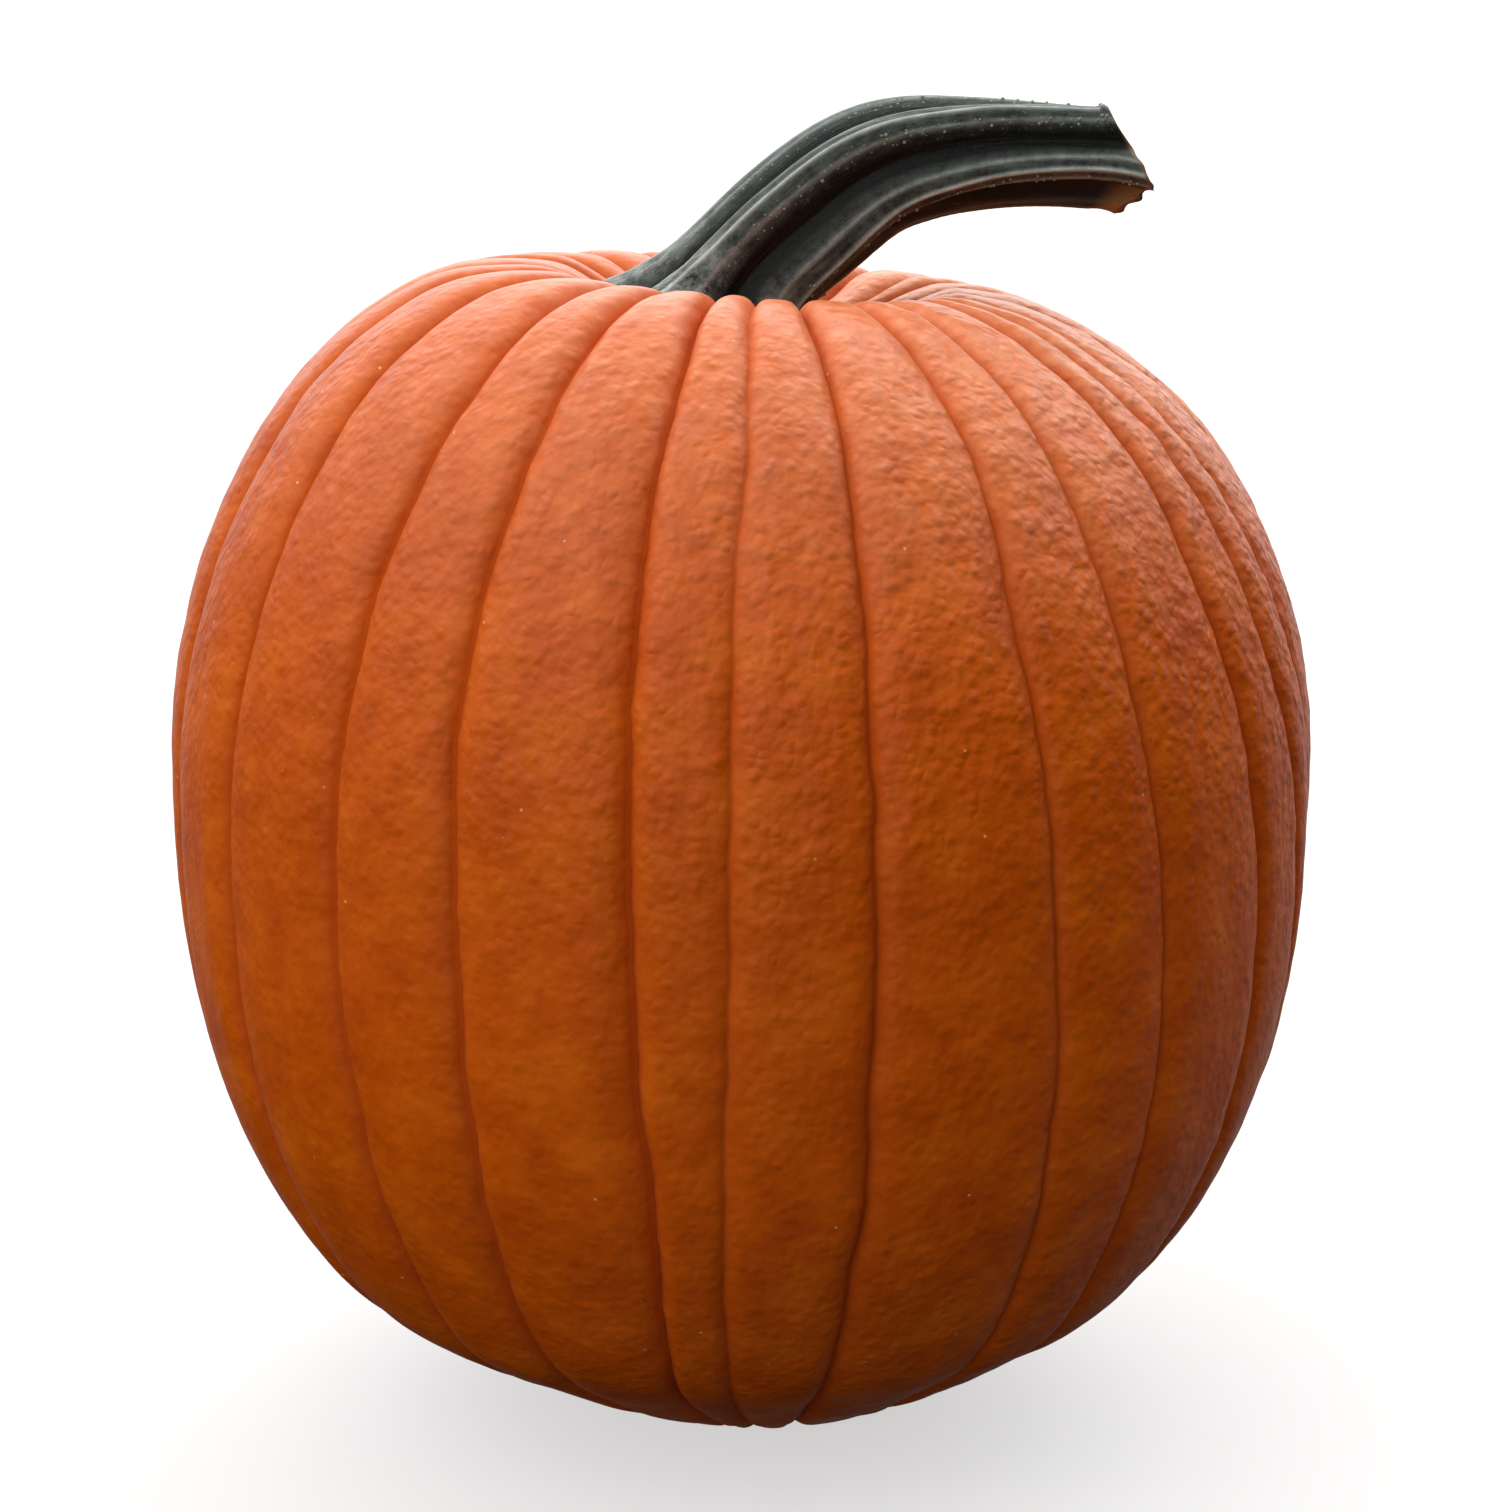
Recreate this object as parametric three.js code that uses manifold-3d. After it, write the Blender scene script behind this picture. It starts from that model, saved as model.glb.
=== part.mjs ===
// A ripe carving pumpkin: one ribbed fruit and the woody five-ridged stem that it was cut with.
// Millimetres, +Z up. The origin is on the ground under the middle of the fruit, and -Y is its front.
import * as THREE from "three";
import { mergeVertices } from "three/addons/utils/BufferGeometryUtils.js";
import Module from "manifold-3d";

// Fruit: its size, and its outline from the blossom end up to the stem as shares of radius and height
const FRUIT_RADIUS = 141;
const FRUIT_HEIGHT = 284;
const OUTLINE = [
  [0, 0.024], [0.1, 0.016], [0.175, -0.003], [0.245, -0.003], [0.36, 0.02], [0.53, 0.064],
  [0.746, 0.138], [0.905, 0.268], [0.978, 0.401], [1, 0.538], [0.987, 0.661], [0.914, 0.785],
  [0.771, 0.897], [0.565, 0.973], [0.33, 0.994], [0.18, 0.971], [0, 0.951],
];
const SHOULDER_TILT = 0.07; // the shoulder sinks by this share of X, so its left side stands higher
const FOOT_SHIFT = 5; // the blossom end lies this far off the middle, towards +X
const FOOT_RISE = 0.14; // the share of the height that this shift fades out over

// Grooves on the front, left to right: azimuth in degrees from -Y towards +X at five even levels from the
// foot up to the crown, then the depth as a share of the deepest
const LEVELS = 5;
const FRONT_GROOVES = [
  [-75, -76, -76, -74, -73, 0.9], [-62, -60, -59, -57, -56, 1], [-41, -40.5, -41, -39.5, -36, 1],
  [-26.5, -26.5, -26.5, -26.5, -23, 0.85], [-10, -8.5, -9.5, -10, -7, 1], [-1.5, -1.5, -1, -0.5, 1.5, 0.5],
  [11.5, 12, 12.5, 12, 13, 0.9], [35, 32.5, 30.5, 28, 28.5, 0.7], [49, 45.5, 43.5, 40, 39, 0.65],
  [67, 64, 61, 55, 54, 0.85], [80, 78, 73, 64, 61, 0.6], [90, 88, 82, 72, 69, 0.8],
];
// The back ones stand evenly apart, but each strays in place and depth by a sine of its own number
const BACK_GROOVES = 13;
const BACK_SWAY = 2.5; // degrees to each side
const BACK_DEPTH = 0.8;
const BACK_DEPTH_SWAY = 0.2;
const SWAY_TURN = 2.4; // radians from one groove to the next
const LEVEL_TURN = 0.35; // and from one level of a groove to the next
const RIB_DEPTH = 4.5; // from the crest of a rib down to its deepest groove
const RIB_SQUARENESS = 2.6; // a higher power makes flatter ribs and narrower grooves
const RIB_START = 12; // the ribs rise out of the two ends from this radius
const RIB_FULL = 36; // to this one
const LOBE_SWELL = 0.5; // they are deeper by this share at the crown
const LOBE_RISE = [0.85, 1]; // between these shares of the height

// Stem: its centre line in the XZ plane, from inside the hollow of the crown to the cut end
const STEM_PATH = [[-3, 266], [1, 281], [14.5, 296.5], [33, 309.5], [57, 313.5], [84, 312.5], [100, 309.5]];
const STEM_RADIUS = 18.7; // at the waist, over the ridges
const STEM_END_RADIUS = 12.6;
const STEM_TAPER = [0.25, 0.85]; // the shares of the length that the taper runs between
const TOE_SPREAD = 27; // the ridges run out on the fruit this far past the waist
const TOE_RISE = 0.32; // the share of the length that the toes take up
const TOE_CURVE = 5; // a higher power keeps the toes lower and more hollow
const TOE_WEB = 0.4; // the share of the spread that the furrows between the toes take part in
const RIDGES = 5;
const RIDGE_TURN = 30; // degrees from -Y round to the first ridge, at the foot
const RIDGE_TWIST = -18; // degrees more at the cut end
const FURROW_DEPTH = 0.24; // share of the stem's radius
const CUT_TIP = 5; // the cut end comes to a blunt tip this far below its centre line
const CUT_BACK = [0.9, 0.7]; // and leans back from there by these slopes, above and below
const STEM_CLEARANCE = 0.3; // between the stem and the fruit

// Fineness of the surfaces
const STEPS_PER_RIB = 5;
const STEP_CROWDING = 0.09; // moves the steps of a rib towards its two grooves
const ROWS_PER_SPAN = 2;
const STEPS_PER_RIDGE = 6;
const STEM_ROWS = 22;

const rind = new THREE.MeshStandardMaterial({ color: 0xc45a16, roughness: 0.45, metalness: 0 });
const bark = new THREE.MeshStandardMaterial({ color: 0x2f3a30, roughness: 0.6, metalness: 0 });

// All grooves in order round the fruit, first those of the front and then those of the back
function allGrooves() {
  const first = FRONT_GROOVES[0];
  const last = FRONT_GROOVES[FRONT_GROOVES.length - 1];
  const back = [];
  for (let k = 1; k <= BACK_GROOVES; k += 1) {
    const share = k / (BACK_GROOVES + 1);
    const azimuths = [];
    for (let level = 0; level < LEVELS; level += 1) {
      const even = THREE.MathUtils.lerp(last[level], first[level] + 360, share);
      azimuths.push(even + BACK_SWAY * Math.sin(SWAY_TURN * k + LEVEL_TURN * level));
    }
    back.push([...azimuths, BACK_DEPTH + BACK_DEPTH_SWAY * Math.cos(SWAY_TURN * k)]);
  }
  return [...FRONT_GROOVES, ...back];
}

// A groove's azimuth in radians at a share of the height, on a smooth curve through its levels
function grooveAzimuth(groove, up) {
  const levels = groove.slice(0, LEVELS).map((degrees, level) => new THREE.Vector2(level, degrees));
  return THREE.MathUtils.degToRad(new THREE.SplineCurve(levels).getPoint(up).y);
}

// The fruit, swollen evenly by grow so that a clearance can be cut from its neighbour
function fruitGeometry(grow) {
  const grooves = allGrooves();
  const corners = OUTLINE.map(([r, z]) => new THREE.Vector2(r * FRUIT_RADIUS, z * FRUIT_HEIGHT));
  const outline = new THREE.SplineCurve(corners);
  const rows = (OUTLINE.length - 1) * ROWS_PER_SPAN;
  const points = outline.getPoints(rows);
  const steps = grooves.length * STEPS_PER_RIB;
  const geometry = new THREE.LatheGeometry(points, steps);
  const position = geometry.getAttribute("position");

  for (let index = 0; index < position.count; index += 1) {
    const step = Math.floor(index / points.length) % steps;
    const row = index % points.length;
    const rib = Math.floor(step / STEPS_PER_RIB);
    const even = (step % STEPS_PER_RIB) / STEPS_PER_RIB;
    const across = even - STEP_CROWDING * Math.sin(2 * Math.PI * even);
    const radius = points[row].x;
    const up = THREE.MathUtils.clamp(points[row].y / FRUIT_HEIGHT, 0, 1);

    const near = grooves[rib];
    const far = grooves[(rib + 1) % grooves.length];
    const start = grooveAzimuth(near, up);
    const turn = grooveAzimuth(far, up) - start;
    const width = turn < 0 ? turn + 2 * Math.PI : turn;
    const azimuth = start + width * across;

    const share = THREE.MathUtils.lerp(near[LEVELS], far[LEVELS], across);
    const fade = THREE.MathUtils.smoothstep(radius, RIB_START, RIB_FULL);
    const lobe = 1 + LOBE_SWELL * THREE.MathUtils.smoothstep(up, ...LOBE_RISE);
    const sink = RIB_DEPTH * share * fade * lobe * Math.abs(2 * across - 1) ** RIB_SQUARENESS;

    const tangent = outline.getTangent(row / rows);
    const isEnd = row === 0 || row === rows;
    const swell = grow - sink;
    const reach = isEnd ? 0 : radius + tangent.y * swell;
    const x = reach * Math.sin(azimuth);
    const rise = isEnd ? Math.sign(tangent.x) * -swell : -tangent.x * swell;
    const height = points[row].y + rise;
    const shoulder = THREE.MathUtils.clamp(2 * up - 1, 0, 1);
    const z = height - SHOULDER_TILT * x * shoulder ** 3;
    const foot = THREE.MathUtils.clamp(1 - up / FOOT_RISE, 0, 1);
    position.setXYZ(index, x + FOOT_SHIFT * foot * foot, -reach * Math.cos(azimuth), Math.max(z, 0));
  }
  return closed(geometry);
}

// The stem: a ridged, tapering bar bent along its centre line, flared at the foot and cut at a slant
function stemGeometry() {
  const centre = new THREE.CatmullRomCurve3(STEM_PATH.map(([x, z]) => new THREE.Vector3(x, 0, z)));
  const geometry = new THREE.CylinderGeometry(1, 1, 1, RIDGES * STEPS_PER_RIDGE, STEM_ROWS);
  const position = geometry.getAttribute("position");
  const front = new THREE.Vector3(0, -1, 0);
  const spot = new THREE.Vector3();

  for (let index = 0; index < position.count; index += 1) {
    spot.fromBufferAttribute(position, index);
    const along = THREE.MathUtils.clamp(spot.y + 0.5, 0, 1);
    const fromMiddle = Math.hypot(spot.x, spot.z);
    const angle = Math.atan2(spot.x, spot.z);
    const tangent = centre.getTangentAt(along);
    const side = new THREE.Vector3().crossVectors(tangent, front);

    const taper = THREE.MathUtils.smoothstep(along, ...STEM_TAPER);
    const waist = THREE.MathUtils.lerp(STEM_RADIUS, STEM_END_RADIUS, taper);
    const crest = THREE.MathUtils.degToRad(RIDGE_TURN + RIDGE_TWIST * along);
    const ridge = 0.5 + 0.5 * Math.cos(RIDGES * (angle - crest));
    const toe = (1 - THREE.MathUtils.smoothstep(along, 0, TOE_RISE)) ** TOE_CURVE;
    const spread = TOE_SPREAD * toe * THREE.MathUtils.lerp(TOE_WEB, 1, ridge);
    const radius = waist * (1 - FURROW_DEPTH * (1 - ridge)) + spread;

    const across = fromMiddle * radius * Math.sin(angle);
    const outward = fromMiddle * radius * Math.cos(angle);
    const fromTip = across - CUT_TIP;
    const back = fromTip < 0 ? CUT_BACK[0] * -fromTip : CUT_BACK[1] * fromTip;
    const slant = -back * THREE.MathUtils.smoothstep(along, STEM_TAPER[1], 1);
    spot.copy(centre.getPointAt(along));
    spot.addScaledVector(side, across).addScaledVector(front, outward).addScaledVector(tangent, slant);
    position.setXYZ(index, spot.x, spot.y, spot.z);
  }
  return closed(geometry);
}

// One closed skin: shared corners are merged, and triangles that shrank to a line are left out
function closed(geometry) {
  geometry.deleteAttribute("normal");
  geometry.deleteAttribute("uv");
  const merged = mergeVertices(geometry, 1e-3);
  const corners = merged.getIndex().array;
  const kept = [];
  for (let first = 0; first < corners.length; first += 3) {
    const [a, b, c] = corners.slice(first, first + 3);
    if (a !== b && b !== c && c !== a) {
      kept.push(a, b, c);
    }
  }
  merged.setIndex(kept);
  return merged;
}

const wasm = await Module();
wasm.setup();

function solid(geometry) {
  return new wasm.Manifold(new wasm.Mesh({
    numProp: 3,
    vertProperties: Float32Array.from(geometry.getAttribute("position").array),
    triVerts: Uint32Array.from(geometry.getIndex().array),
  }));
}

function geometryOf(body) {
  const mesh = body.getMesh();
  const geometry = new THREE.BufferGeometry();
  geometry.setAttribute("position", new THREE.BufferAttribute(mesh.vertProperties, mesh.numProp));
  geometry.setIndex(new THREE.BufferAttribute(mesh.triVerts, 1));
  return geometry;
}

const fruit = new THREE.Mesh(fruitGeometry(0), rind);
fruit.name = "fruit";

// The stem's foot follows the hollow and the ribs that it grew on
const footCut = solid(stemGeometry()).subtract(solid(fruitGeometry(STEM_CLEARANCE)));
const stem = new THREE.Mesh(geometryOf(footCut), bark);
stem.name = "stem";

const pumpkin = new THREE.Group();
pumpkin.name = "pumpkin";
pumpkin.add(fruit, stem);

export default pumpkin;
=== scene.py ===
# A ripe carving pumpkin as it was cut from the vine: an orange ribbed fruit and its green ridged stem.
# Metres, +Z up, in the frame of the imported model. The side that the photograph shows faces -Y.
import math
import random

import bmesh
import bpy
import numpy as np
from mathutils import Matrix, Vector, noise
from mathutils.bvhtree import BVHTree


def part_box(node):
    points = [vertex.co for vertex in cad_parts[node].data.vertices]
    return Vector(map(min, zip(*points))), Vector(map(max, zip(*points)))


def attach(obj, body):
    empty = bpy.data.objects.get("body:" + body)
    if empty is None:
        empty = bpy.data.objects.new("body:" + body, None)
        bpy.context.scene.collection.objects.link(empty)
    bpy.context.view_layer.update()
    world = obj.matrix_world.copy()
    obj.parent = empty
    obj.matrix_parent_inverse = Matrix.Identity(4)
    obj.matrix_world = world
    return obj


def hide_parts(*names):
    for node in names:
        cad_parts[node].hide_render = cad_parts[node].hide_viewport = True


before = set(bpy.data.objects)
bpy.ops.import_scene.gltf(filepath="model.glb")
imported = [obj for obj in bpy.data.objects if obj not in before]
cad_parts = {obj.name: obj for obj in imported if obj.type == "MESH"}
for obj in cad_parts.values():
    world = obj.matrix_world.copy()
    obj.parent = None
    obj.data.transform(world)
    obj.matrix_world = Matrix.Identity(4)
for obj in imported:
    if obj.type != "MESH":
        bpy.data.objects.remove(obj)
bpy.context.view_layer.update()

# Camera: the photograph's view, from in front and a little above, level from side to side.
# Its place and lens are those that lay the model's outline on the photograph's.
MM = 0.001
CAMERA_PLACE = Vector((3.6, -900, 362)) * MM
CAMERA_PITCH = math.radians(12.44)
SENSOR_WIDTH = 36
CAMERA_LENS = 87.8

camera_data = bpy.data.cameras.new("camera")
camera_data.sensor_width = SENSOR_WIDTH
camera_data.lens = CAMERA_LENS
camera = bpy.data.objects.new("camera", camera_data)
camera.location = CAMERA_PLACE
camera.rotation_euler = (math.pi / 2 - CAMERA_PITCH, 0, 0)
bpy.context.scene.collection.objects.link(camera)
bpy.context.scene.camera = camera

# Fruit: one grown body with a thin hard rind over the flesh, drawn in at the stem and the blossom end.
# Two dozen ribs swell between the grooves that run down from the stem. A flat grid is rolled up round
# the outline, and every point is sunk or raised by its place on its rib.
fruit_low, fruit_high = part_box("fruit")
FRUIT_RADIUS = (fruit_high.y - fruit_low.y) / 2
FRUIT_HEIGHT = fruit_high.z
# From the blossom end up to the stem, as shares of the radius and the height
OUTLINE = [
    (0, 0.024), (0.1, 0.016), (0.175, -0.003), (0.245, -0.003), (0.36, 0.02), (0.53, 0.064),
    (0.746, 0.138), (0.905, 0.268), (0.978, 0.401), (1, 0.538), (0.987, 0.661), (0.914, 0.785),
    (0.771, 0.897), (0.565, 0.973), (0.37, 0.992), (0.22, 0.966), (0, 0.945),
]
SHOULDER_TILT = 0.07  # above the middle the body leans, and at the crown sinks by this share of X
TILT_CURVE = 3
FOOT_SHIFT = 5 * MM  # the blossom end lies off the middle
FOOT_RISE = 0.14  # the share of the height that this fades out over
CROWN_SHIFT = 2.5 * MM  # the hollow round the stem lies off it too
CROWN_SPREAD = (40 * MM, 80 * MM)
# Each groove's azimuth in degrees from -Y towards +X, at five even levels from the foot up to the crown,
# and its depth as a share of the deepest
FRONT_GROOVES = [
    (-75, -76, -76, -74, -73, 0.9), (-62, -60, -59, -57, -56, 1), (-41, -40.5, -41, -39.5, -36, 1),
    (-26.5, -26.5, -26.5, -26.5, -23, 0.85), (-10, -8.5, -9.5, -10, -8, 1),
    (-1.5, -1.5, -1, -0.5, 1.5, 0.45), (11.5, 12, 12.5, 12, 13, 0.9), (35, 32.5, 30.5, 28, 28.5, 0.7),
    (49, 45.5, 43.5, 40, 39, 0.65), (67, 64, 61, 55, 54, 0.85), (80, 78, 73, 64, 61, 0.6),
    (90, 88, 82, 72, 69, 0.8),
]
# The grooves behind stand evenly apart, but each strays by a sine of its own number
BACK_GROOVES = 13
LEVELS = 5
BACK_SWAY = 2.5
BACK_DEPTH = 0.8
BACK_DEPTH_SWAY = 0.2
SWAY_TURN = 2.4
LEVEL_TURN = 0.35
ARCH_DEPTH = 2.3 * MM  # the swell of a rib
ARCH_SQUARENESS = 4
LOBE_SWELL = 0.8  # the ribs are rounder by this share at the crown
LOBE_RISE = (0.93, 1)
CREASE_DEPTH = 1.8 * MM  # the narrow crease at the bottom of a groove
CREASE_WIDTH = 1.2 * MM
RIB_START = 12 * MM  # the ribs rise out of the two ends between these radii
RIB_FULL = 36 * MM
GROOVE_WANDER = 0.5  # degrees
WANDER_LENGTH = 26 * MM
WANDER_APART = 7.3  # keeps one groove's wander unlike the next one's
WANDER_KINKS = (0.7, 2.5, 3)  # the smaller kinks on top: how fast they fade and shrink, and how many sizes
FLUTE_DEPTH = 0.45 * MM  # faint flutes along a rib
FLUTE_WIDTH = 13 * MM
FLUTE_STRETCH = 7
PEBBLE_DEPTH = 0.4 * MM  # the skin is pebbled
PEBBLE_WIDTH = 7 * MM
PEBBLE_LEAN = 0.35  # more so on the right than on the left by this share
PEBBLE_FOOT = 0.5  # with this share at the foot
PEBBLE_RISE = (0.45, 0.8)  # and all of it above
SMOOTH_CROWN = 0.45  # but less by this share round the stem
PAINTED_SHEEN_RISE = (0.65, 1)  # a pale painted sheen lies over the top, thickest on the right
PAINTED_SHEEN_CURVE = 1.6
PAINTED_SHEEN_LEAN = 0.6
STEPS_PER_RIB = 20
STEP_CROWDING = 0.09
ROWS = 195
MERGE_DISTANCE = 0.001 * MM
CURVE_STEPS = 4000
CURVE_NUDGE = 0.0001


def ramp(value, low, high):
    """0 below low, 1 above high, and a smooth rise between."""
    share = min(max((value - low) / (high - low), 0), 1)
    return share * share * (3 - 2 * share)


def through(points, share):
    """A place on the smooth curve through points, at a share of the way along them."""
    spans = len(points) - 1
    span = min(max(int(share * spans), 0), spans - 1)
    t = share * spans - span
    a, b, c, d = (points[min(max(span + k, 0), spans)] for k in (-1, 0, 1, 2))
    return b + 0.5 * t * (c - a + t * (2 * a - 5 * b + 4 * c - d + t * (3 * (b - c) + d - a)))


def evenly(points, count):
    """Places an equal way apart along that curve, each with its direction."""
    fine = np.linspace(0, 1, CURVE_STEPS + 1).tolist()
    places = [through(points, share) for share in fine]
    lengths = np.cumsum([0] + [(b - a).length for a, b in zip(places, places[1:])])
    for share in np.interp(np.linspace(0, lengths[-1], count + 1), lengths, fine).tolist():
        ahead = through(points, min(share + CURVE_NUDGE, 1))
        behind = through(points, max(share - CURVE_NUDGE, 0))
        yield through(points, share), (ahead - behind).normalized()


grooves = list(FRONT_GROOVES)
for k in range(1, BACK_GROOVES + 1):
    share = k / (BACK_GROOVES + 1)
    azimuths = []
    for level in range(LEVELS):
        first, last = FRONT_GROOVES[0][level] + 360, FRONT_GROOVES[-1][level]
        sway = BACK_SWAY * math.sin(SWAY_TURN * k + LEVEL_TURN * level)
        azimuths.append(last + (first - last) * share + sway)
    grooves.append((*azimuths, BACK_DEPTH + BACK_DEPTH_SWAY * math.cos(SWAY_TURN * k)))


def groove_azimuth(number, up):
    """A groove's azimuth in radians at a share of the height, with its small wander."""
    spot = Vector((WANDER_APART * number, 0, up * FRUIT_HEIGHT / WANDER_LENGTH))
    wander = noise.fractal(spot, *WANDER_KINKS)
    return math.radians(through(grooves[number][:LEVELS], up) + GROOVE_WANDER * wander)


outline = [Vector((r * FRUIT_RADIUS, 0, z * FRUIT_HEIGHT)) for r, z in OUTLINE]
rows = []
for place, direction in evenly(outline, ROWS):
    up = min(max(place.z / FRUIT_HEIGHT, 0), 1)
    rows.append((place, direction, up, [groove_azimuth(number, up) for number in range(len(grooves))]))

skin = bmesh.new()
bmesh.ops.create_grid(skin, x_segments=STEPS_PER_RIB * len(grooves), y_segments=ROWS, size=0.5)
crease_of = skin.verts.layers.float.new("crease")
painted_sheen_of = skin.verts.layers.float.new("painted_sheen")
pebble_of = skin.verts.layers.float.new("pebble")
for vert in skin.verts:
    place, direction, up, lines = rows[round((vert.co.y + 0.5) * ROWS)]
    radius = place.x
    step = round((vert.co.x + 0.5) * STEPS_PER_RIB * len(grooves))
    rib = step // STEPS_PER_RIB % len(grooves)
    after = (rib + 1) % len(grooves)
    even = step % STEPS_PER_RIB / STEPS_PER_RIB
    across = even - STEP_CROWDING * math.sin(math.tau * even)
    width = (lines[after] - lines[rib]) % math.tau
    azimuth = lines[rib] + width * across
    depth = grooves[rib][LEVELS] * (1 - across) + grooves[after][LEVELS] * across

    fade = ramp(radius, RIB_START, RIB_FULL)
    lobe = 1 + LOBE_SWELL * ramp(up, *LOBE_RISE)
    edge = min(across, 1 - across) * width * radius
    crease = math.exp(-edge / CREASE_WIDTH)
    arch = abs(2 * across - 1) ** ARCH_SQUARENESS
    sink = depth * fade * (ARCH_DEPTH * lobe * arch + CREASE_DEPTH * crease)
    turned = Vector((math.sin(azimuth), -math.cos(azimuth), 0))
    level = Vector((0, 0, place.z))
    bare = radius * turned + level
    flute = noise.noise((radius * turned + level / FLUTE_STRETCH) / FLUTE_WIDTH)
    pebbled = (1 - crease ** 2) * (1 + PEBBLE_LEAN * turned.x)
    pebbled *= PEBBLE_FOOT + (1 - PEBBLE_FOOT) * ramp(up, *PEBBLE_RISE)
    pebbled *= 1 - SMOOTH_CROWN * ramp(up, *LOBE_RISE)
    pebble = PEBBLE_DEPTH * pebbled * noise.noise(bare / PEBBLE_WIDTH)
    sink -= fade * (FLUTE_DEPTH * (1 - crease) * flute + pebble)

    co = bare + (turned * direction.z - Vector((0, 0, direction.x))) * -sink
    above_middle = max(2 * up - 1, 0)
    co.z -= SHOULDER_TILT * co.x * above_middle ** TILT_CURVE
    co.x += FOOT_SHIFT * max(1 - up / FOOT_RISE, 0) ** 2
    if above_middle > 0:
        co.x += CROWN_SHIFT * (1 - ramp(radius, *CROWN_SPREAD))
    vert.co = (co.x, co.y, max(co.z, 0))
    vert[crease_of] = crease * fade * depth
    vert[pebble_of] = pebbled
    # Painted sheen: the top, and more of it on the right, is painted paler where the light's sheen falls
    vert[painted_sheen_of] = ramp(up, *PAINTED_SHEEN_RISE) ** PAINTED_SHEEN_CURVE * (1 + PAINTED_SHEEN_LEAN * turned.x)
bmesh.ops.remove_doubles(skin, verts=skin.verts[:], dist=MERGE_DISTANCE)

# Rind: the fruit's own hard skin, satin, with fine wrinkles and round pimples and a few pale pores.
# Their upper sides catch the light and shine pale, and their lower sides stay deep orange. A pale painted
# sheen is laid over the top, on the wrinkles that stand up. The creases are painted a little darker, partly
# their own deeper orange and partly painted shade, and they stay dull.
RIND_COLOUR = "#CE5702"
RIND_PALE = "#DD680C"
RIND_DEEP = "#BB4802"
PAINTED_SHEEN_COLOUR = "#E8966A"
# The creases are painted darker: partly their own deeper orange, partly painted shade
CREASE_SHADE_COLOUR = "#BC4A02"
PORE_COLOUR = "#EDB98C"
RIND_ROUGHNESS = 0.36
RIND_IOR = 1.28
CREASE_ROUGHNESS = 0.9
CREASE_DULL = 0.5  # a crease this deep is as dull as it gets
PIMPLE_SPACING = 3.2 * MM
PIMPLE_BREADTH = 0.4  # of the spacing
PIMPLE_HEIGHT = 0.3 * MM
WRINKLE_SIZE = 5 * MM
WRINKLE_DETAIL = 2
WRINKLE_HEIGHT = 1 * MM
MOTTLE_SIZE = 16 * MM
MOTTLE_DETAIL = 4
MOTTLE_ROUGHNESS = 0.65
PALE_SPAN = (0.5, 0.75)  # of the mottle
DEEP_SPAN = (0.5, 0.25)
PAINTED_SHEEN_SPAN = (0.25, 0.75)  # of the wrinkles, as the painted sheen lies on what stands up
PAINTED_SHEEN_SHARE = (0.2, 0.62)
PORE_SPACING = 11 * MM
PORE_RADIUS = 0.45 * MM
PORE_CORE = 0.4  # the share of the radius that is palest


def linear(colour):
    """The linear RGBA of an sRGB hex colour."""
    parts = [int(colour[k:k + 2], 16) / 255 for k in (1, 3, 5)]
    return (*(c / 12.92 if c <= 0.04045 else ((c + 0.055) / 1.055) ** 2.4 for c in parts), 1)


def add_node(tree, kind, inputs, **settings):
    """Adds a node with its settings. An input is a value, or the output that is linked to it."""
    node = tree.nodes.new(kind)
    for name, value in settings.items():
        setattr(node, name, value)
    for name, value in inputs.items():
        if isinstance(value, bpy.types.NodeSocket):
            tree.links.new(value, node.inputs[name])
        else:
            node.inputs[name].default_value = value
    return node


def new_material(name):
    """An empty material, its node tree and its shader."""
    material = bpy.data.materials.new(name)
    material.use_nodes = True
    return material, material.node_tree, material.node_tree.nodes["Principled BSDF"]


rind, tree, shader = new_material("satin_rind")
place = add_node(tree, "ShaderNodeTexCoord", {}).outputs["Object"]
wrinkle = add_node(tree, "ShaderNodeTexNoise", {
    "Vector": place, "Scale": 1 / WRINKLE_SIZE, "Detail": WRINKLE_DETAIL, "Roughness": 0.5,
}).outputs["Fac"]
cells = add_node(tree, "ShaderNodeTexVoronoi", {"Vector": place, "Scale": 1 / PIMPLE_SPACING})
off = cells.outputs["Distance"]
squared = add_node(tree, "ShaderNodeMath", {0: off, 1: off}, operation="MULTIPLY").outputs[0]
fall = add_node(tree, "ShaderNodeMath", {0: squared, 1: -1 / PIMPLE_BREADTH ** 2}, operation="MULTIPLY")
pimple = add_node(tree, "ShaderNodeMath", {0: fall.outputs[0]}, operation="EXPONENT").outputs[0]
mottle = add_node(tree, "ShaderNodeTexNoise", {
    "Vector": place, "Scale": 1 / MOTTLE_SIZE, "Detail": MOTTLE_DETAIL, "Roughness": MOTTLE_ROUGHNESS,
}).outputs["Fac"]
pores = add_node(tree, "ShaderNodeTexVoronoi", {"Vector": place, "Scale": 1 / PORE_SPACING})
pore_share = PORE_RADIUS / PORE_SPACING
pore = add_node(tree, "ShaderNodeMapRange", {
    "Value": pores.outputs["Distance"], "From Min": pore_share, "From Max": PORE_CORE * pore_share,
}).outputs[0]
crease = add_node(tree, "ShaderNodeAttribute", {}, attribute_name="crease").outputs["Fac"]
pale = add_node(tree, "ShaderNodeMapRange", {
    "Value": mottle, "From Min": PALE_SPAN[0], "From Max": PALE_SPAN[1],
}).outputs[0]
deep = add_node(tree, "ShaderNodeMapRange", {
    "Value": mottle, "From Min": DEEP_SPAN[0], "From Max": DEEP_SPAN[1],
}).outputs[0]
painted_sheen = add_node(tree, "ShaderNodeAttribute", {}, attribute_name="painted_sheen").outputs["Fac"]
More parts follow.
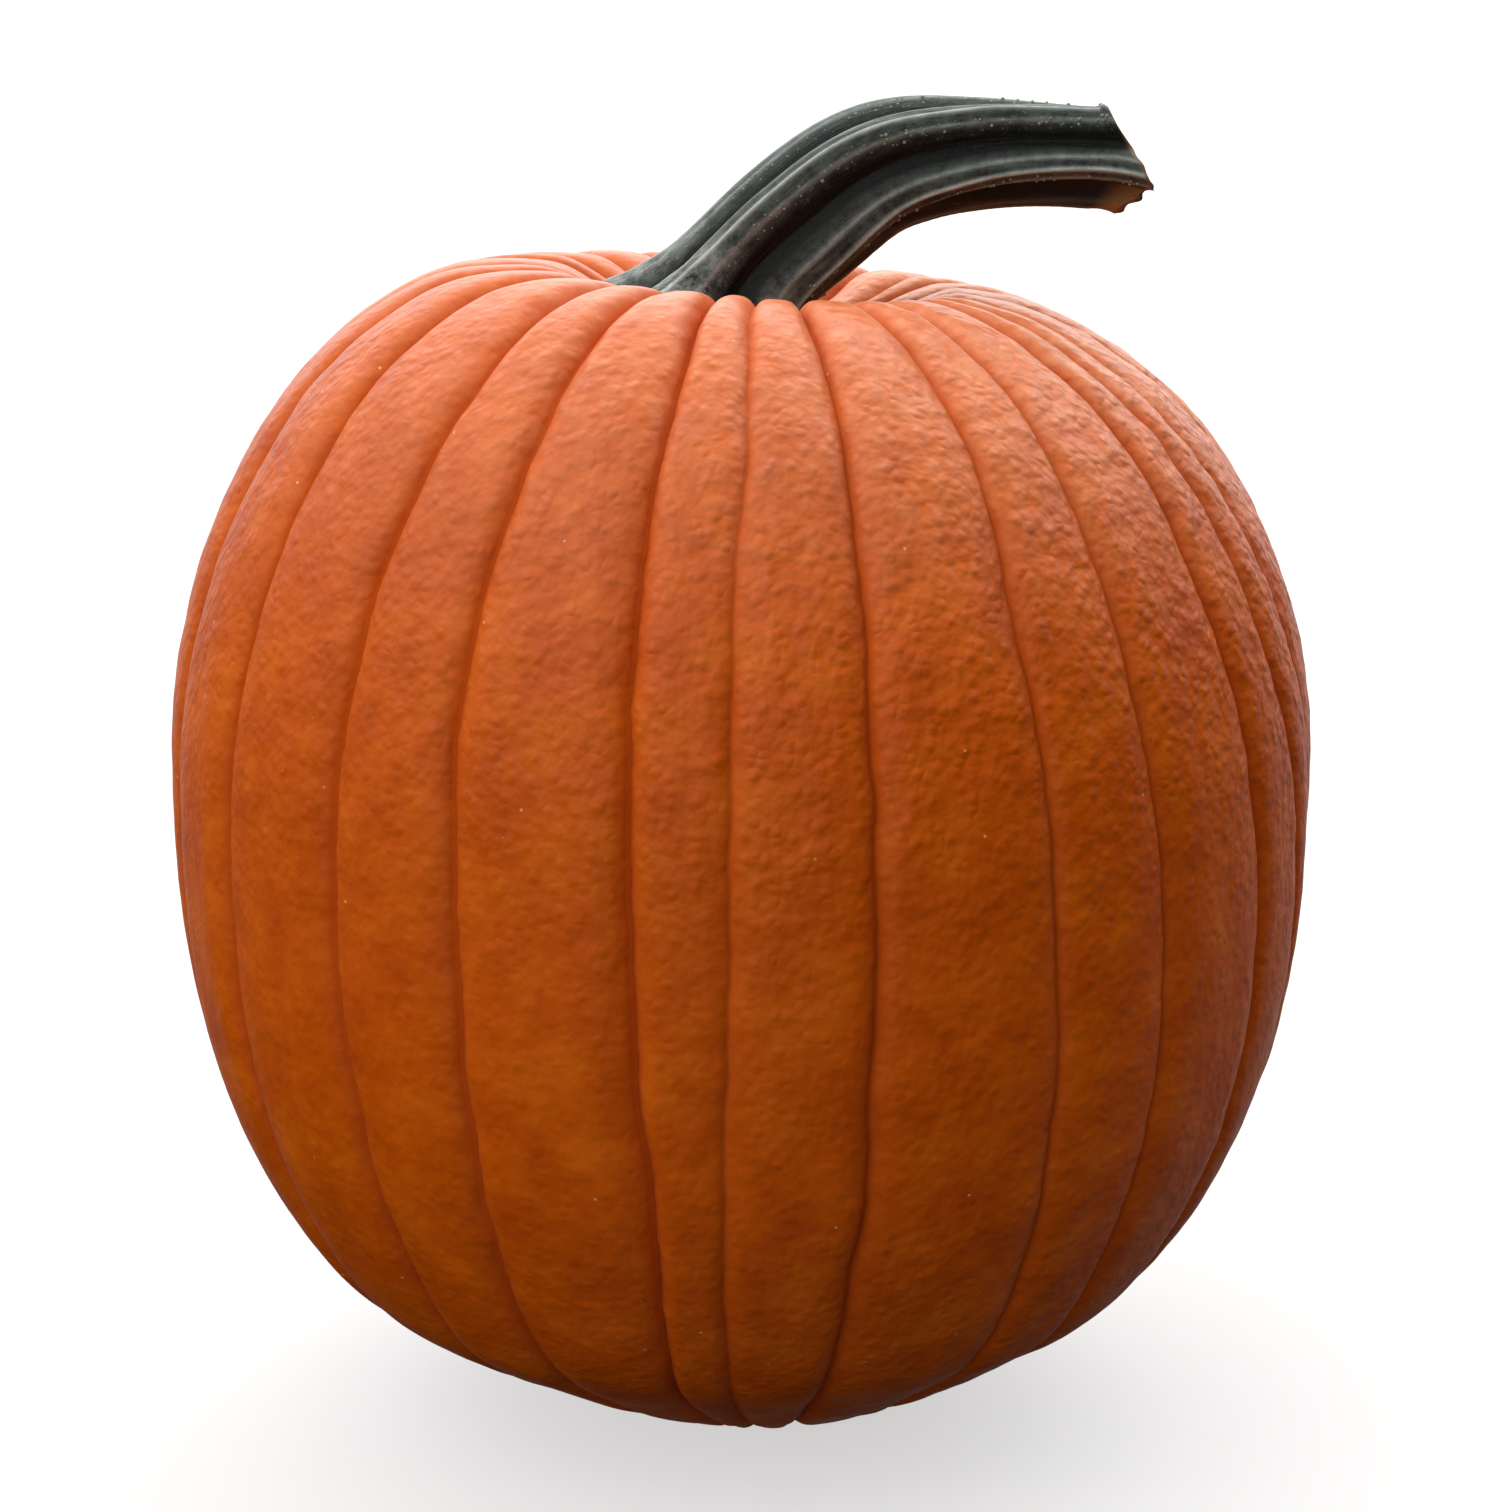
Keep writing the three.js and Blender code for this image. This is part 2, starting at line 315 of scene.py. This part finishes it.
patchy = add_node(tree, "ShaderNodeMapRange", {
    "Value": wrinkle, "From Min": PAINTED_SHEEN_SPAN[0], "From Max": PAINTED_SHEEN_SPAN[1],
    "To Min": PAINTED_SHEEN_SHARE[0], "To Max": PAINTED_SHEEN_SHARE[1],
}).outputs[0]
# The painted sheen is laid on the wrinkles that stand up
painted_sheen_share = add_node(tree, "ShaderNodeMath", {0: painted_sheen, 1: patchy}, operation="MULTIPLY", use_clamp=True)
colour = linear(RIND_COLOUR)
for amount, other in (
    (pale, RIND_PALE), (deep, RIND_DEEP), (painted_sheen_share.outputs[0], PAINTED_SHEEN_COLOUR),
    (crease, CREASE_SHADE_COLOUR), (pore, PORE_COLOUR),
):
    mix = add_node(tree, "ShaderNodeMix", {0: amount, 6: colour, 7: linear(other)}, data_type="RGBA")
    colour = mix.outputs[2]
pebble = add_node(tree, "ShaderNodeAttribute", {}, attribute_name="pebble").outputs["Fac"]
pimpled = add_node(tree, "ShaderNodeBump", {
    "Height": pimple, "Distance": PIMPLE_HEIGHT, "Strength": pebble,
}).outputs[0]
bump = add_node(tree, "ShaderNodeBump", {
    "Height": wrinkle, "Distance": WRINKLE_HEIGHT, "Strength": pebble, "Normal": pimpled,
})
rough = add_node(tree, "ShaderNodeMapRange", {
    "Value": crease, "From Max": CREASE_DULL, "To Min": RIND_ROUGHNESS, "To Max": CREASE_ROUGHNESS,
}).outputs[0]
tree.links.new(colour, shader.inputs["Base Color"])
tree.links.new(rough, shader.inputs["Roughness"])
tree.links.new(bump.outputs[0], shader.inputs["Normal"])
shader.inputs["IOR"].default_value = RIND_IOR


def add_piece(name, mesh, material, node):
    """Makes the finished mesh a smooth piece that stands for a node and rides with it."""
    bmesh.ops.recalc_face_normals(mesh, faces=mesh.faces[:])
    for face in mesh.faces:
        face.smooth = True
    data = bpy.data.meshes.new(name)
    mesh.to_mesh(data)
    data.materials.append(material)
    piece = bpy.data.objects.new(name, data)
    bpy.context.scene.collection.objects.link(piece)
    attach(piece, "root")
    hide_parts(node)
    return piece


add_piece("ribbed_fruit", skin, rind, "fruit")

# Stem: the woody stalk that the fruit hung from, with five rounded ridges that run out as toes on it. The
# stalk bends over to the right as it tapers and twists a little. It was cut through from above and torn
# off below. A thin cord runs along the crest of every ridge, with a fainter vein on both sides.
stem_low, stem_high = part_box("stem")
# Its centre line as shares of the stem's box in X and Z, from inside the fruit's hollow to the cut end
STEM_PATH = [
    (0.242, -0.079), (0.272, 0.192), (0.378, 0.456), (0.514, 0.69), (0.69, 0.77), (0.889, 0.761),
    (1.008, 0.707),
]
STEM_RADIUS = 18.2 * MM
STEM_END_RADIUS = 12.6 * MM
STEM_TAPER = (0.25, 0.85)  # the shares of its length between which it thins
TOE_SPREAD = 33 * MM
TOE_RISE = 0.33
TOE_CURVE = 7
TOE_WEB = 0.4  # the share of the spread that the furrows between the toes take part in
RIDGES = 5
RIDGE_TURN = math.radians(33)
RIDGE_TWIST = math.radians(-21)
TWIST_SPAN = (0.4, 1)
RIDGE_SPLAY = math.radians(24)  # the lower ridges stand further round at the foot
RIDGE_BREADTH = 0.8
FURROW_DEPTH = 0.34
CORD_HEIGHT = 0.6 * MM
CORD_WIDTH = 0.55 * MM
VEIN_LEAN = math.radians(13)  # from the crest of the ridge
VEIN_SHARE = 0.35  # of the cord's height
STRAND_DEPTH = 0.45 * MM  # strands of fibre along the stalk
STRAND_WIDTH = 2.5 * MM
STRAND_LENGTH = 45 * MM
CUT_TIP = 5 * MM  # the end reaches furthest this far below the centre line
CUT_BACK = (0.9, 0.9)  # and slants back from there, upwards and downwards
CUT_HOLLOW = 3 * MM  # the pith has dried and sunk in the cut end
HOLLOW_CURVE = 4
CUT_START = 0.985  # the share of the length at which the rim turns into the cut
TEAR_DEPTH = 2 * MM
TEAR_WIDTH = 3 * MM
TEAR_START = (-0.1, 0.4)  # shares of the radius below the centre line
TEAR_LEAST = 0.25  # the share of the tear's roughness that the cut part has
TORN_TIP = 0.9  # the share of the length beyond which the torn side is cork
UNDERSIDE = (0.5, 0.95)  # radians from the front round below, where the stalk turns under
UNDERSIDE_END = (2.3, 2.7)
DUST_AND_HIGHLIGHT_BELOW = 0.25  # the share of the crest's dust and painted highlight that is left there
HAZE = 0.1  # thin dust all over, with more of it at the foot
FOOT_HAZE = 0.3
FOOT_SPAN = (0.08, 0.25)
GRIT_LEAN = math.radians(14)  # a gritty band lies below the crest of each ridge
GRIT_SPREAD = math.radians(7)
WOOD_START = (0.65, 0.9)  # radians from the front round below, where it has weathered to brown wood
WOOD_END = (2.1, 2.5)
WOOD_ALONG = (0.35, 0.6)
WOOD_WANDER = 0.35
WOOD_STRETCH = 4
JOINT_REACH = 0.4  # the share of the length that can touch the fruit
JOINT_GAP = (0.2 * MM, 1.2 * MM)  # cork has grown where it comes this near
STEPS_PER_RIDGE = 56
STEM_ROWS = 150
CUT_RINGS = 8

box = stem_high - stem_low
path = [Vector((stem_low.x + x * box.x, 0, stem_low.z + z * box.z)) for x, z in STEM_PATH]
centre = list(evenly(path, STEM_ROWS))
stem_length = sum((b - a).length for (a, _), (b, _) in zip(centre, centre[1:]))
front = Vector((0, -1, 0))


def stalk_point(along, angle, inward=1):
    """A point of the stalk, its place on the straightened stalk, and where it lies on its ridge."""
    place, direction = centre[round(along * STEM_ROWS)]
    side = direction.cross(front)
    splay = RIDGE_SPLAY * (1 - along) ** 2 * max(math.sin(angle), 0)
    turned = angle - RIDGE_TURN - RIDGE_TWIST * ramp(along, *TWIST_SPAN) - splay
    ridge = (0.5 + 0.5 * math.cos(RIDGES * turned)) ** RIDGE_BREADTH
    lean = ((turned * RIDGES + math.pi) % math.tau - math.pi) / RIDGES
    waist = STEM_RADIUS + (STEM_END_RADIUS - STEM_RADIUS) * ramp(along, *STEM_TAPER)
    toe = (1 - ramp(along, 0, TOE_RISE)) ** TOE_CURVE
    radius = waist * (1 - FURROW_DEPTH * (1 - ridge)) + TOE_SPREAD * toe * (TOE_WEB + (1 - TOE_WEB) * ridge)
    cord = math.exp(-(lean * radius / CORD_WIDTH) ** 2)
    cord += VEIN_SHARE * math.exp(-((abs(lean) - VEIN_LEAN) * radius / CORD_WIDTH) ** 2)
    grain = Vector((radius * math.sin(angle), radius * math.cos(angle), along * stem_length))
    strand = noise.noise(Vector((*(grain.xy / STRAND_WIDTH), grain.z / STRAND_LENGTH)))
    radius = inward * (radius + CORD_HEIGHT * cord + STRAND_DEPTH * strand)
    across = radius * math.sin(angle)
    from_tip = across - CUT_TIP
    back = -CUT_BACK[0] * from_tip if from_tip < 0 else CUT_BACK[1] * from_tip
    slant = -back * ramp(along, STEM_TAPER[1], 1)
    co = place + side * across + front * (radius * math.cos(angle)) + direction * slant
    return co, direction, grain, ridge, lean, cord


stalk = bmesh.new()
bmesh.ops.create_cone(
    stalk, cap_ends=True, cap_tris=False, segments=RIDGES * STEPS_PER_RIDGE, radius1=1, radius2=1, depth=1,
)
sides = [edge for edge in stalk.edges if edge.verts[0].co.z != edge.verts[1].co.z]
bmesh.ops.subdivide_edges(stalk, edges=sides, cuts=STEM_ROWS - 1, use_grid_fill=True)
top = max(vert.co.z for vert in stalk.verts)
cut_end = [face for face in stalk.faces if all(vert.co.z == top for vert in face.verts)]
for ring in range(CUT_RINGS - 1):
    bmesh.ops.inset_region(stalk, faces=cut_end, thickness=1 / CUT_RINGS, use_even_offset=True)

grain_of = stalk.verts.layers.float_vector.new("grain")
STALK_MARKS = ("furrow_shade", "crest_dust_and_highlight", "haze", "brown", "cork", "grit")
mark_of = {name: stalk.verts.layers.float.new(name) for name in STALK_MARKS}
rind_tree = BVHTree.FromBMesh(skin)
for vert in stalk.verts:
    along = min(max(vert.co.z + 0.5, 0), 1)
    angle = math.atan2(vert.co.x, -vert.co.y)
    inward = math.hypot(vert.co.x, vert.co.y)
    co, direction, grain, ridge, lean, cord = stalk_point(along, angle, inward)
    torn = ramp(inward * math.sin(angle), *TEAR_START)
    cut = ramp(along, CUT_START, 1)
    tear = (TEAR_LEAST + (1 - TEAR_LEAST) * torn) * noise.noise(co / TEAR_WIDTH)
    co += direction * cut * (TEAR_DEPTH * tear - CUT_HOLLOW * (1 - inward ** HOLLOW_CURVE))
    vert.co = co
    vert[grain_of] = Vector((grain.x * inward, grain.y * inward, grain.z))
    vert[mark_of["furrow_shade"]] = 1 - ridge
    above = 1 - ramp(angle, *UNDERSIDE) * (1 - ramp(angle, *UNDERSIDE_END))
    # The crests are painted pale: partly dust, partly painted highlight, with less of it underneath
    vert[mark_of["crest_dust_and_highlight"]] = cord * (DUST_AND_HIGHLIGHT_BELOW + (1 - DUST_AND_HIGHLIGHT_BELOW) * above)
    vert[mark_of["haze"]] = above * (HAZE + FOOT_HAZE * (1 - ramp(along, *FOOT_SPAN)))
    vert[mark_of["grit"]] = math.exp(-((lean - GRIT_LEAN) / GRIT_SPREAD) ** 2)
    spot = Vector((*(grain.xy / STRAND_WIDTH), grain.z / (WOOD_STRETCH * STRAND_WIDTH)))
    strayed = angle + WOOD_WANDER * noise.noise(spot)
    below = ramp(strayed, *WOOD_START) * (1 - ramp(strayed, *WOOD_END))
    vert[mark_of["brown"]] = below * ramp(along, *WOOD_ALONG)
    gap = rind_tree.find_nearest(co)[3] if along < JOINT_REACH else 1
    joint = 1 - ramp(gap, *JOINT_GAP)
    vert[mark_of["cork"]] = max(cut, joint, torn * ramp(along, TORN_TIP, 1) * below)

# Stalk skin: dried green plant stalk, dull, with furrows painted black as painted shade, pale dust and a
# painted highlight on the crests, and pale grit below them. Its underside has weathered to brown wood, and
# the cut end and the joint with the fruit to tan cork.
STALK_COLOUR = "#263229"
STALK_DARK = "#141A15"
FURROW_SHADE_COLOUR = "#090C08"
DUST_AND_HIGHLIGHT_COLOUR = "#BEC7BF"
WOOD_COLOUR = "#120E09"
CORK_COLOUR = "#86633C"
GRIT_COLOUR = "#A4AAA2"
STALK_ROUGHNESS = 0.5
STALK_IOR = 1.28
FIBRE_WIDTH = 0.9 * MM
FIBRE_STRETCH = 0.07  # across the fibres to along them
FIBRE_DETAIL = 3
FIBRE_ROUGHNESS = 0.6
FIBRE_HEIGHT = 0.35 * MM
DARK_SPAN = (0.6, 0.35)  # of the fibres
BLOTCH_SIZE = 4 * MM
BLOTCH_DETAIL = 4
BLOTCH_ROUGHNESS = 0.75
BLOTCH_HEIGHT = 0.5 * MM
WORN_SPAN = (0.35, 0.6)  # of the blotches
DUST_AND_HIGHLIGHT_LEAST = 0.7  # the share of the crest's dust and painted highlight that stays between the worn blotches
FURROW_SPAN = (0.2, 0.75)  # of the furrow's depth, over which the painted shade deepens
GRIT_SPACING = 1.5 * MM
GRIT_RADIUS = 0.32 * MM
GRIT_CORE = 0.5  # the share of the radius that is palest

stalk_skin, tree, shader = new_material("dried_stalk")
grain = add_node(tree, "ShaderNodeAttribute", {}, attribute_name="grain").outputs["Vector"]
strands = add_node(tree, "ShaderNodeMapping", {"Vector": grain, "Scale": (1, 1, FIBRE_STRETCH)}).outputs[0]
fibre = add_node(tree, "ShaderNodeTexNoise", {
    "Vector": strands, "Scale": 1 / FIBRE_WIDTH, "Detail": FIBRE_DETAIL, "Roughness": FIBRE_ROUGHNESS,
}).outputs["Fac"]
blotch = add_node(tree, "ShaderNodeTexNoise", {
    "Vector": grain, "Scale": 1 / BLOTCH_SIZE, "Detail": BLOTCH_DETAIL, "Roughness": BLOTCH_ROUGHNESS,
}).outputs["Fac"]
grains = add_node(tree, "ShaderNodeTexVoronoi", {"Vector": grain, "Scale": 1 / GRIT_SPACING})
grit_share = GRIT_RADIUS / GRIT_SPACING
speck = add_node(tree, "ShaderNodeMapRange", {
    "Value": grains.outputs["Distance"], "From Min": grit_share, "From Max": GRIT_CORE * grit_share,
}).outputs[0]
marks = {}
for name in STALK_MARKS:
    marks[name] = add_node(tree, "ShaderNodeAttribute", {}, attribute_name=name).outputs["Fac"]
dark = add_node(tree, "ShaderNodeMapRange", {
    "Value": fibre, "From Min": DARK_SPAN[0], "From Max": DARK_SPAN[1],
}).outputs[0]
# Painted shade: the furrows are painted near black
furrow_shade = add_node(tree, "ShaderNodeMapRange", {
    "Value": marks["furrow_shade"], "From Min": FURROW_SPAN[0], "From Max": FURROW_SPAN[1],
}).outputs[0]
worn = add_node(tree, "ShaderNodeMapRange", {
    "Value": blotch, "From Min": WORN_SPAN[0], "From Max": WORN_SPAN[1],
}).outputs[0]
haze = add_node(tree, "ShaderNodeMath", {0: marks["haze"], 1: worn}, operation="MULTIPLY").outputs[0]
dust_and_highlight_share = add_node(tree, "ShaderNodeMapRange", {"Value": worn, "To Min": DUST_AND_HIGHLIGHT_LEAST, "To Max": 1.0}).outputs[0]
# Partly dust, partly painted highlight along the crests
crest_dust_and_highlight = add_node(tree, "ShaderNodeMath", {0: marks["crest_dust_and_highlight"], 1: dust_and_highlight_share}, operation="MULTIPLY").outputs[0]
gritty = add_node(tree, "ShaderNodeMath", {0: speck, 1: worn}, operation="MULTIPLY").outputs[0]
grit = add_node(tree, "ShaderNodeMath", {0: gritty, 1: marks["grit"]}, operation="MULTIPLY").outputs[0]
colour = linear(STALK_COLOUR)
for amount, other in (
    (dark, STALK_DARK), (haze, DUST_AND_HIGHLIGHT_COLOUR), (furrow_shade, FURROW_SHADE_COLOUR), (marks["brown"], WOOD_COLOUR),
    (crest_dust_and_highlight, DUST_AND_HIGHLIGHT_COLOUR), (grit, GRIT_COLOUR), (marks["cork"], CORK_COLOUR),
):
    mix = add_node(tree, "ShaderNodeMix", {0: amount, 6: colour, 7: linear(other)}, data_type="RGBA")
    colour = mix.outputs[2]
fibrous = add_node(tree, "ShaderNodeBump", {
    "Height": fibre, "Distance": FIBRE_HEIGHT, "Strength": 1,
}).outputs[0]
bump = add_node(tree, "ShaderNodeBump", {
    "Height": blotch, "Distance": BLOTCH_HEIGHT, "Strength": 1, "Normal": fibrous,
})
tree.links.new(colour, shader.inputs["Base Color"])
tree.links.new(bump.outputs[0], shader.inputs["Normal"])
shader.inputs["Roughness"].default_value = STALK_ROUGHNESS
shader.inputs["IOR"].default_value = STALK_IOR
add_piece("ridged_stem", stalk, stalk_skin, "stem")

# Warts: hard pale grains of cork that have grown out of the stalk, in the gritty band below the crest of
# each ridge, and most of them small. They are strewn by a seeded draw, and stand half out of the stalk.
WARTS_PER_RIDGE = 60
WART_SPAN = (0.2, 0.97)
WART_STRAY = 0.5 * GRIT_SPREAD
WART_RADIUS = (0.15 * MM, 0.5 * MM)
WART_SEED = 5
WART_COLOUR = "#82887F"
WART_ROUGHNESS = 0.7

warts = bmesh.new()
draw = random.Random(WART_SEED)
for ridge in range(RIDGES):
    for _ in range(WARTS_PER_RIDGE):
        along = draw.uniform(*WART_SPAN)
        crest = RIDGE_TURN + RIDGE_TWIST * ramp(along, *TWIST_SPAN) + ridge * math.tau / RIDGES
        place = stalk_point(along, crest + draw.gauss(GRIT_LEAN, WART_STRAY))[0]
        size = WART_RADIUS[0] + (WART_RADIUS[1] - WART_RADIUS[0]) * draw.random() ** 2
        bmesh.ops.create_icosphere(warts, subdivisions=2, radius=size, matrix=Matrix.Translation(place))

wart_cork, tree, shader = new_material("pale_wart_cork")
shader.inputs["Base Color"].default_value = linear(WART_COLOUR)
shader.inputs["Roughness"].default_value = WART_ROUGHNESS
add_piece("stem_warts", warts, wart_cork, "stem")

# Floor and light: a plain pale floor, painted dull, that throws no light back on the fruit. Wide soft
# lights stand round it, brightest from behind and above on both sides, then from the front. What is seen
# past the floor is plain white.
WHITE = "#FFFFFF"
FLOOR_SIZE = 60
FLOOR_COLOUR = "#9A9998"
FLOOR_ROUGHNESS = 0.9
FLOOR_GLOW = 0.6  # it glows evenly of itself, painted light that keeps the shadow pale
# Elevation and azimuth in degrees, from -Y towards +X, and strength
SOFT_LIGHTS = [
    (50, 120, 2.0), (50, 180, 1.7), (50, 240, 1.2), (50, 300, 1.84), (50, 0, 0.1),
    (20, 352, 0.88), (20, 180, 2.0), (20, 270, 0.3), (20, 315, 0.36), (-15, 120, 0.2), (-60, 0, 0.08),
]
LIGHT_TIGHTNESS = 6  # a higher power makes each light smaller

ground = bmesh.new()
bmesh.ops.create_grid(ground, x_segments=1, y_segments=1, size=FLOOR_SIZE / 2)
floor_data = bpy.data.meshes.new("floor")
ground.to_mesh(floor_data)
floor = bpy.data.objects.new("floor", floor_data)
bpy.context.scene.collection.objects.link(floor)
floor_paint, tree, shader = new_material("floor_paint")
shader.inputs["Base Color"].default_value = linear(FLOOR_COLOUR)
shader.inputs["Emission Color"].default_value = linear(WHITE)
shader.inputs["Emission Strength"].default_value = FLOOR_GLOW
shader.inputs["Roughness"].default_value = FLOOR_ROUGHNESS
floor_data.materials.append(floor_paint)
floor.visible_diffuse = False
floor.visible_glossy = False

world = bpy.data.worlds.new("studio")
world.use_nodes = True
tree = world.node_tree
background = tree.nodes["Background"]
direction = add_node(tree, "ShaderNodeTexCoord", {}).outputs["Generated"]
glow = 0.0
for elevation, azimuth, strength in SOFT_LIGHTS:
    up, turn = math.radians(elevation), math.radians(azimuth)
    axis = Vector((math.cos(up) * math.sin(turn), -math.cos(up) * math.cos(turn), math.sin(up)))
    facing = add_node(tree, "ShaderNodeVectorMath", {0: direction, 1: axis}, operation="DOT_PRODUCT")
    near = add_node(tree, "ShaderNodeMath", {0: facing.outputs["Value"], 1: 0.0}, operation="MAXIMUM")
    soft = add_node(tree, "ShaderNodeMath", {0: near.outputs[0], 1: LIGHT_TIGHTNESS}, operation="POWER")
    summed = add_node(tree, "ShaderNodeMath", {
        0: soft.outputs[0], 1: strength, 2: glow,
    }, operation="MULTIPLY_ADD")
    glow = summed.outputs[0]
seen = add_node(tree, "ShaderNodeLightPath", {}).outputs["Is Camera Ray"]
strength = add_node(tree, "ShaderNodeMix", {0: seen, 2: glow, 3: 1.0}, data_type="FLOAT").outputs[0]
tree.links.new(strength, background.inputs["Strength"])
background.inputs["Color"].default_value = linear(WHITE)
bpy.context.scene.world = world
bpy.context.scene.view_settings.view_transform = "Standard"
